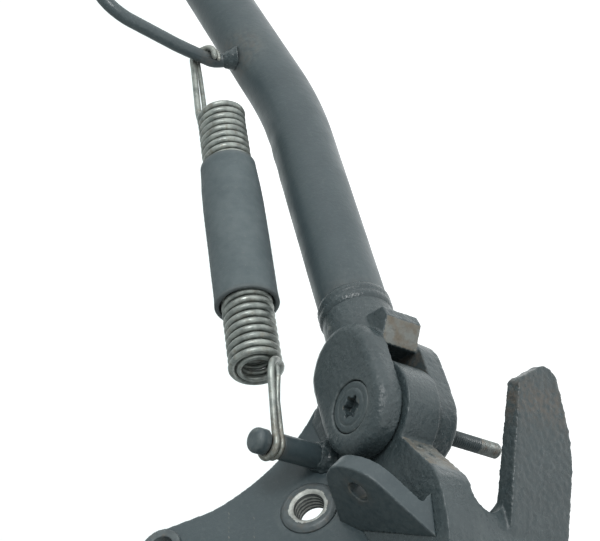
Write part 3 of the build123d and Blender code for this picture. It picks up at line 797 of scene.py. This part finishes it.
def coil(name, wire, radius, turns, top_s, low_s, post_reach, rod_reach, top_run, low_run):
    helix = []
    steps = int(turns * 40)
    for i in range(steps + 1):
        f = i / steps
        t = pi + (2 * pi * turns - 0.55) * f
        grow = 1 + 0.05 * max(0, (f * turns - turns + 1.2)) + 0.03 * max(0, 1.2 - f * turns)
        wobble = 0.12 * sin(i * 0.021 + radius)
        point = coil_top + coil_dir * (wire + (coil_run - 2 * wire) * f)
        outward = coil_side * cos(t) + Vector((0, 0, 1)) * sin(t)
        helix.append(point + outward * (radius * grow + wobble * 0.4))
    high = hook(rod_c, -pull, pull_side, rod_reach, top_s[0], top_s[1], top_run)
    low = hook(post_c, pull, -pull_side, post_reach, low_s, low_s, low_run)
    high = [p * 1000 for p in high][::-1]
    low = [p * 1000 for p in low]
    up_leave = (high[-1] - high[-2]).normalized()
    low_leave = (low[1] - low[0]).normalized()
    top_gap = (helix[0] - high[-1]).length
    low_gap = (low[0] - helix[-1]).length
    first_turn = (helix[1] - helix[0]).normalized() * top_gap * 1.1
    last_turn = (helix[-1] - helix[-2]).normalized() * low_gap * 1.1
    join_top = hermite(high[-1], up_leave * top_gap * 1.3, helix[0], first_turn, 22)
    join_low = hermite(helix[-1], last_turn, low[0], low_leave * low_gap * 1.3, 22)
    points = high + join_top + helix + join_low + low
    points = [piv(p.x, p.y, p.z) for p in points]
    piece = sweep(name, points, wire, 14)
    at = array_of(piece.data)
    push(piece, 0.03 * rough_skin(at, 2.5, 91))
    gap = np.linalg.norm(in_pivot(at)[:, :2] - np.array((post_c.x, post_c.y)), axis=1)
    rod_gap = np.linalg.norm(in_pivot(at)[:, :2] - np.array((rod_c.x, rod_c.y)), axis=1)
    hook_rust = np.clip(1.2 - gap / 12, 0, 1) * 0.8 + np.clip(1.1 - rod_gap / 9, 0, 1) * 0.5
    set_mask(piece, "rust", hook_rust)
    piece.data.materials.append(wire_metal)
    piece.data.polygons.foreach_set("use_smooth", [True] * len(piece.data.polygons))
    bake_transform(piece, "spring_lower", "spring_upper", piv(*coil_low), piv(*coil_top))
    return piece


# (u, k) of the straight runs between each coil and the pin it hooks on
thick_low = [(-28.06, -12.92), (-25.98, -14.08), (-17.64, -17.59), (-6.2, -22.5)]
thin_low = [(-26.2, -13.2), (-23.5, -15.0), (-18.6, -17.9), (-6.2, -22.5)]
thick_top = [(-180.05, 11.51), (-202.27, 19.24)]
thin_top = [(-183.65, 14.14), (-201.5, 19.6)]
outer = coil("coil_outer", 1.35, 8.8, 38.5, (33.3, 28.3), 33.2, 4.9, 4.6, thick_top, thick_low)
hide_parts("outer_spring")
inner = coil("coil_inner", 1.0, 6.15, 52.5, (30.8, 25.7), 30.6, 4.55, 4.25, thin_top, thin_low)
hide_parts("inner_spring")

# rubber sleeve, necked at its upper end and flared at its lower end
sleeve_rows = [(32.0, 10.85), (31.8, 11.05), (32.0, 11.3)]
sleeve_rows += [(34, 11.4), (38, 11.62), (44, 11.98), (52, 12.25)]
sleeve_rows += [(x, 12.3 + 0.2 * (x - 54) / 49) for x in np.arange(54, 100, 1.5)]
sleeve_rows += [(101.5, 12.62), (103.1, 12.72), (103.6, 12.4), (103.5, 11.1), (103.2, 10.85)]
sleeve_rows += [(x, 10.85) for x in np.arange(100, 33, -6.0)]


def sleeve_shape(along, angle, radius):
    if radius < 11:
        return radius
    soft = 0.16 * sin(2 * angle + along * 0.02) + 0.05 * sin(3 * angle - along * 0.05)
    coils = 0.035 * sin(2 * pi * along / 3.55 - angle)
    return radius + soft + coils


origin = piv(*coil_top)
axis = piv_dir(*coil_dir)
sleeve = lathe("sleeve_skin", sleeve_rows, origin, axis, S_DIR, 120, sleeve_shape, closed=True)
at = array_of(sleeve.data)
push(sleeve, 0.06 * rough_skin(at, 8, 95))
run = (at - np.array(origin)) @ np.array(axis) * 1000
set_mask(sleeve, "dust", near(run, 32.2, 0.8) * 0.6 + near(run, 103.3, 0.8) * 0.6)
finish_piece(sleeve, sleeve_rubber, "sleeve", ["spring_sleeve"])

# ---------------------------------------------------------------- stage and light
floor_mesh = bpy.data.meshes.new("floor")
wide, low = 8.0, cad_low.z - 0.19
floor_corners = [(-wide, -wide, low), (wide, -wide, low), (wide, wide, low), (-wide, wide, low)]
floor_mesh.from_pydata(floor_corners, [], [(0, 1, 2, 3)])
floor = link("floor", floor_mesh)
pale = Shader("pale_floor")
tone = pale.colour(pale.remap(pale.noise(3, 3), 0.3, 0.7), (0.9, 0.9, 0.9), (0.93, 0.93, 0.93))
pale.body.inputs["Emission Color"].default_value = (1, 1, 1, 1)
pale.body.inputs["Emission Strength"].default_value = 0.75
floor.data.materials.append(pale.out(Base_Color=tone, Roughness=0.9, Specular_IOR_Level=0.1))

world = bpy.data.worlds.new("studio")
scene.world = world
world.use_nodes = True
sky = world.node_tree
glow = (right * 0.7 + up * 0.6 - back * 0.3).normalized()
towards = sky.nodes.new("ShaderNodeTexCoord").outputs["Generated"]
lean = sky.nodes.new("ShaderNodeVectorMath")
lean.operation = "DOT_PRODUCT"
lean.inputs[1].default_value = glow
sky.links.new(towards, lean.inputs[0])
ramp = sky.nodes.new("ShaderNodeMapRange")
ramp.interpolation_type = "SMOOTHSTEP"
sky.links.new(lean.outputs["Value"], ramp.inputs["Value"])
for socket, value in (("From Min", -0.55), ("From Max", 0.2), ("To Min", 0.5), ("To Max", 1.15)):
    ramp.inputs[socket].default_value = value
sky.links.new(ramp.outputs["Result"], sky.nodes["Background"].inputs["Strength"])
sky.nodes["Background"].inputs["Color"].default_value = (0.93, 1.0, 1.0, 1)


def area(name, place, aim, size, power):
    lamp = bpy.data.lights.new(name, "AREA")
    lamp.shape = "RECTANGLE"
    lamp.size, lamp.size_y = size
    lamp.energy = power
    holder = bpy.data.objects.new(name, lamp)
    scene.collection.objects.link(holder)
    holder.location = place
    holder.rotation_mode = "QUATERNION"
    holder.rotation_quaternion = (Vector(aim) - Vector(place)).to_track_quat("-Z", "Y")


aim = Vector((-0.05, 0.0, 0.0))
area("side", aim + right * 0.95 + up * 0.45 + back * 0.2, aim, (0.35, 0.35), 11)
area("front", aim + up * 0.75 + back * 0.75 - right * 0.15, aim, (0.3, 0.3), 6)
scene.view_settings.view_transform = "Standard"
scene.view_settings.look = "None"
